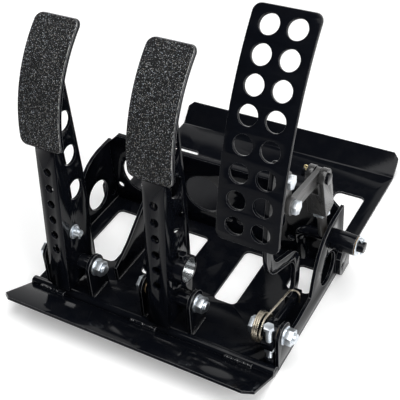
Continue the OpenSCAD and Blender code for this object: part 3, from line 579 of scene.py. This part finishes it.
pivotBolts = ("clutch_pivot_bolt", "brake_pivot_bolt", "throttle_pivot_bolt")
threads = {"base": [dict(at=boltTip(node), to=(-1, 0, 0), **pivotScrew) for node in pivotBolts]}
stopLow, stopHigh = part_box("stop_bolt")
lockLow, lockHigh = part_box("stop_locknut")
stopMiddle = (stopLow + stopHigh) / 2
threads["throttle"] = []
aboveTab = (lockHigh.z + stopScrew["tab"], stopHigh.z - stopScrew["head"])
belowNut = (lockLow.z, stopLow.z)
for start, end in (aboveTab, belowNut):
    threads["throttle"].append(dict(
        at=Vector((stopMiddle.x, stopMiddle.y, start)), to=(0, 0, 1 if end > start else -1),
        turns=int(abs(end - start) / stopScrew["pitch"]), pitch=stopScrew["pitch"], radius=stopScrew["radius"]))
zincThread, threadIds = makeThreadTree("zincThread", finishes["zinc_plate"])
for body, rows in threads.items():
    meshes = []
    for i, row in enumerate(rows):
        values = {"Turns": row["turns"], "Pitch": row["pitch"], "Radius": row["radius"],
                  "Crest": threadForm["crest"] * row["pitch"]}
        place = row["at"] + Vector(row["to"]) * threadForm["lead"] * row["pitch"]
        meshes.append(bakeTree(f"{body}Thread{i}", zincThread, threadIds, values, place, row["to"]))
    piece = joinMeshes(f"{body}_threads", meshes)
    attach(piece, body)
print("threads cut")

weld = {"radius": 1.7 * mm, "spacing": 1.5 * mm, "inset": 2.0 * mm, "reach": 149 * mm}
welded = ["clutch_outer_ear", "clutch_inner_ear", "brake_outer_ear", "brake_inner_ear", "centre_gusset",
          "left_side_plate", "right_side_plate"]
weldTree, weldIds = makeWeldTree("weldBead", weldPaint)
meshes = []
for i, node in enumerate(welded):
    low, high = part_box(node)
    length = high.y - low.y - 2 * weld["inset"]
    for x in (low.x, high.x):
        if abs(x) > weld["reach"]:  # the outer faces are flush with the deck's edge
            continue
        values = {"Drops": int(length / weld["spacing"]), "Spacing": weld["spacing"],
                  "Radius": weld["radius"], "Seed": i}
        place = Vector((x, low.y + weld["inset"], low.z))
        meshes.append(bakeTree(f"weld{i}", weldTree, weldIds, values, place, (0, 1, 0)))
piece = joinMeshes("plate_welds", meshes)
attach(piece, "base")
stitch = {"half": 15 * mm, "radius": 2.9 * mm, "spacing": 2.3 * mm, "sunk": 0.4 * mm, "seed": 20,
          "xs": (-118 * mm, 0.0, 112 * mm)}
low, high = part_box("fold_welds")
meshes = []
for i, x in enumerate(stitch["xs"]):
    values = {"Drops": int(2 * stitch["half"] / stitch["spacing"]), "Spacing": stitch["spacing"],
              "Radius": stitch["radius"], "Seed": stitch["seed"] + i}
    place = Vector((x - stitch["half"], (low.y + high.y) / 2, (low.z + high.z) / 2 - stitch["sunk"]))
    meshes.append(bakeTree(f"stitch{i}", weldTree, weldIds, values, place, (1, 0, 0)))
piece = joinMeshes("fold_stitches", meshes)
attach(piece, "base")
print("welds laid")

# the return spring is bent from one round wire

spring = {
    "wire": 1.1 * mm,  # half the wire's thickness
    "roundness": 4,
    "coil": 15 * mm,
    "turns": 3,
    "hookTurn": 0.95,  # of one turn, before the wire leaves for the hook
    "bend": 4.3 * mm,
    "tail": 15 * mm,
    "hookDrop": 0.5 * mm,
}


def tangentAngle(y, z):  # where a straight wire to this point leaves the coil
    return math.atan2(z, y) + math.acos(spring["coil"] / math.hypot(y, z))


def roundedPath(points, radius, steps=8):
    made = [points[0]]
    for before, corner, after in zip(points, points[1:], points[2:]):
        a = corner + (before - corner).normalized() * radius
        b = corner + (after - corner).normalized() * radius
        for k in range(steps + 1):
            t = k / steps
            made.append(a * (1 - t) ** 2 + corner * 2 * t * (1 - t) + b * t ** 2)
    return made + [points[-1]]


def wirePiece(name, points):
    data = bpy.data.curves.new(name, "CURVE")
    data.dimensions = "3D"
    data.bevel_depth = spring["wire"]
    data.bevel_resolution = spring["roundness"]
    data.use_fill_caps = True
    spline = data.splines.new("POLY")
    spline.points.add(len(points) - 1)
    for point, place in zip(spline.points, points):
        point.co = (*place, 1.0)
    holder = bpy.data.objects.new(name, data)
    bpy.context.scene.collection.objects.link(holder)
    graph = bpy.context.evaluated_depsgraph_get()
    mesh = bpy.data.meshes.new_from_object(holder.evaluated_get(graph))
    bpy.data.objects.remove(holder)
    for face in mesh.polygons:
        face.use_smooth = True
    mesh.materials.clear()
    mesh.materials.append(finishes["spring_steel"])
    piece = bpy.data.objects.new(name, mesh)
    bpy.context.scene.collection.objects.link(piece)
    return piece


def turnPoints(middle, xs, first, turns, around=48):
    count = int(turns * around)
    made = []
    for k in range(count + 1):
        t = k / count
        angle = first - 2 * math.pi * turns * t
        x = xs[0] + (xs[1] - xs[0]) * t
        y, z = spring["coil"] * math.cos(angle), spring["coil"] * math.sin(angle)
        made.append(Vector((x, middle.y + y, middle.z + z)))
    return made


low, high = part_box("return_spring_hook")
outer = spring["coil"] + spring["wire"]
middle = Vector((0, low.y + outer, high.z - outer))
nearX, farX = low.x + spring["wire"], high.x - spring["wire"]
eye = Vector((nearX, high.y - spring["wire"], middle.z - spring["hookDrop"]))
leave = tangentAngle(eye.y - middle.y, eye.z - middle.z)
path = turnPoints(middle, (nearX, nearX), leave + 2 * math.pi * spring["hookTurn"], spring["hookTurn"])
across = Vector((farX, eye.y, eye.z))
path += roundedPath([path.pop(), eye, across, across - Vector((0, 0, spring["tail"]))], spring["bend"])
piece = wirePiece("spring_hook_wire", path)
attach(piece, bodyOf["return_spring_hook"])
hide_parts("return_spring_hook")
low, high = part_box("return_spring_coil")
foot = Vector((low.x + spring["wire"], high.y - spring["wire"], low.z + spring["wire"]))
leave = tangentAngle(foot.y - middle.y, foot.z - middle.z)
path = turnPoints(middle, (high.x - spring["wire"], foot.x), leave, spring["turns"]) + [foot]
piece = wirePiece("spring_coil_wire", path)
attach(piece, bodyOf["return_spring_coil"])
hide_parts("return_spring_coil")
print("spring wound")

# the machined bore of the balance tube is left bare

bareBore = {"radius": 13.0 * mm, "wall": 0.3 * mm, "gap": 0.02 * mm, "around": 96, "sharp": 40}


def makeBareBore(name):
    low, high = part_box("balance_tube")
    middle = (low + high) / 2
    outer = bareBore["radius"] - bareBore["gap"]
    inner = bareBore["radius"] - bareBore["wall"]
    profile = [(low.x, inner), (high.x, inner), (high.x, outer), (low.x, outer)]
    work = bmesh.new()
    rings = []
    for k in range(bareBore["around"]):
        turn = 2 * math.pi * k / bareBore["around"]
        side = Vector((0, math.cos(turn), math.sin(turn)))
        rings.append([work.verts.new(Vector((x, middle.y, middle.z)) + side * r) for x, r in profile])
    for k, ring in enumerate(rings):
        after = rings[(k + 1) % len(rings)]
        for i in range(len(profile)):
            j = (i + 1) % len(profile)
            work.faces.new((ring[i], ring[j], after[j], after[i]))
    bmesh.ops.recalc_face_normals(work, faces=work.faces)
    mesh = bpy.data.meshes.new(name)
    work.to_mesh(mesh)
    work.free()
    for face in mesh.polygons:
        face.use_smooth = abs(face.normal.x) < 0.5  # the two end rings stay flat
    mesh.set_sharp_from_angle(angle=math.radians(bareBore["sharp"]))
    mesh.materials.append(turnedSteel)
    piece = bpy.data.objects.new(name, mesh)
    bpy.context.scene.collection.objects.link(piece)
    return piece


piece = makeBareBore("balance_tube_bore")
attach(piece, bodyOf["balance_tube"])
print("bore bared")

# floor, light and camera

studio = {
    "floorSize": 60.0,
    "floorDrop": 0.2 * mm,
    "floorColour": (0.88, 0.88, 0.88, 1.0),
    "floorRoughness": 0.9,
    "floorLift": (0.2, 0.95),  # brings the floor up to white, near the lamps and far from them
    "floorLit": (0.5, 2.6),  # the lamps' light fades between these distances
    "surround": 0.07,  # the room round the table is dark, so the black paint stays black
    "backdropTop": (0.6, 0.69),  # a pale backdrop behind the part fades out between these heights
    "backdropSide": (0.1, 0.5),  # and towards its sides
    "aim": (0, 0, 0.1),
    "over": dict(place=(0.15, -0.1, 2.0), size=1.5, power=34.0),
    "right": dict(place=(1.5, -0.75, 1.1), size=0.8, power=19.0),
    "left": dict(place=(-1.5, 0.62, 1.0), size=0.7, power=6.5),
    "glint": dict(place=(0.7, -1.2, 1.5), size=0.1, power=4.0),  # small and bright, for sharp highlights
}


def seenDirectly(tree):
    rays = addNode(tree, "ShaderNodeLightPath")
    seen = mathNode(tree, "ADD", rays.outputs["Is Camera Ray"], rays.outputs["Is Glossy Ray"])
    return mathNode(tree, "ADD", seen, rays.outputs["Is Transmission Ray"], clamp=True)


def makeFloor():
    bpy.ops.mesh.primitive_plane_add(size=studio["floorSize"], location=(0, 0, -studio["floorDrop"]))
    floor = bpy.context.object
    floor.name = "studioFloor"
    material = bpy.data.materials.new("paleFloor")
    material.use_nodes = True
    tree = material.node_tree
    shader = tree.nodes["Principled BSDF"]
    shader.inputs["Base Color"].default_value = studio["floorColour"]
    shader.inputs["Roughness"].default_value = studio["floorRoughness"]
    shader.inputs["Specular IOR Level"].default_value = 0.0
    away = addNode(tree, "ShaderNodeVectorMath", operation="LENGTH")
    link(tree, addNode(tree, "ShaderNodeTexCoord"), "Object", away, 0)
    lift = rampNode(tree, away.outputs["Value"], *studio["floorLit"], *studio["floorLift"])
    shader.inputs["Emission Color"].default_value = (1, 1, 1, 1)
    tree.links.new(mathNode(tree, "MULTIPLY", seenDirectly(tree), lift), shader.inputs["Emission Strength"])
    floor.data.materials.append(material)
    floor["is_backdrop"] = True


def makeWorld():
    world = bpy.data.worlds.new("studioWorld")
    bpy.context.scene.world = world
    world.use_nodes = True
    tree = world.node_tree
    background = tree.nodes["Background"]
    background.inputs["Color"].default_value = (1, 1, 1, 1)
    split = addNode(tree, "ShaderNodeSeparateXYZ")
    link(tree, addNode(tree, "ShaderNodeTexCoord"), "Generated", split, "Vector")
    backdrop = rampNode(tree, split.outputs["Z"], *studio["backdropTop"], 1.0 - studio["surround"], 0.0)
    backdrop = mathNode(tree, "MULTIPLY", backdrop, rampNode(tree, split.outputs["Y"], *studio["backdropSide"]))
    strength = mathNode(tree, "MULTIPLY_ADD", seenDirectly(tree), backdrop, studio["surround"])
    rays = addNode(tree, "ShaderNodeLightPath")
    strength = mathNode(tree, "MAXIMUM", strength, rays.outputs["Is Camera Ray"])  # white past the floor's edge
    tree.links.new(strength, background.inputs["Strength"])


def makeLamp(name, place, size, power):
    data = bpy.data.lights.new(name, "AREA")
    data.size = size
    data.energy = power
    lamp = bpy.data.objects.new(name, data)
    lamp.location = place
    lamp.rotation_mode = "QUATERNION"
    lamp.rotation_quaternion = (Vector(studio["aim"]) - Vector(place)).to_track_quat("-Z", "Y")
    bpy.context.scene.collection.objects.link(lamp)


view = {
    "place": (0.3908, -0.6544, 0.6866),
    "right": (0.8709, 0.4864, -0.0702),
    "up": (-0.2669, 0.5880, 0.7636),
    "back": (0.4127, -0.6463, 0.6419),
    "lens": 77.7,
    "sensor": 36.0,
    "nearest": 0.01,
}


def makeCamera():
    data = bpy.data.cameras.new("viewCamera")
    data.lens = view["lens"]
    data.sensor_width = view["sensor"]
    data.clip_start = view["nearest"]
    camera = bpy.data.objects.new("viewCamera", data)
    turn = Matrix((view["right"], view["up"], view["back"])).transposed().to_4x4()
    camera.matrix_world = Matrix.Translation(view["place"]) @ turn
    bpy.context.scene.collection.objects.link(camera)
    bpy.context.scene.camera = camera


makeFloor()
makeWorld()
for lampName in ("over", "right", "left", "glint"):
    makeLamp(lampName, **studio[lampName])
makeCamera()
bpy.context.scene.view_settings.view_transform = "Standard"
print("studio set")

low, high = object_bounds()
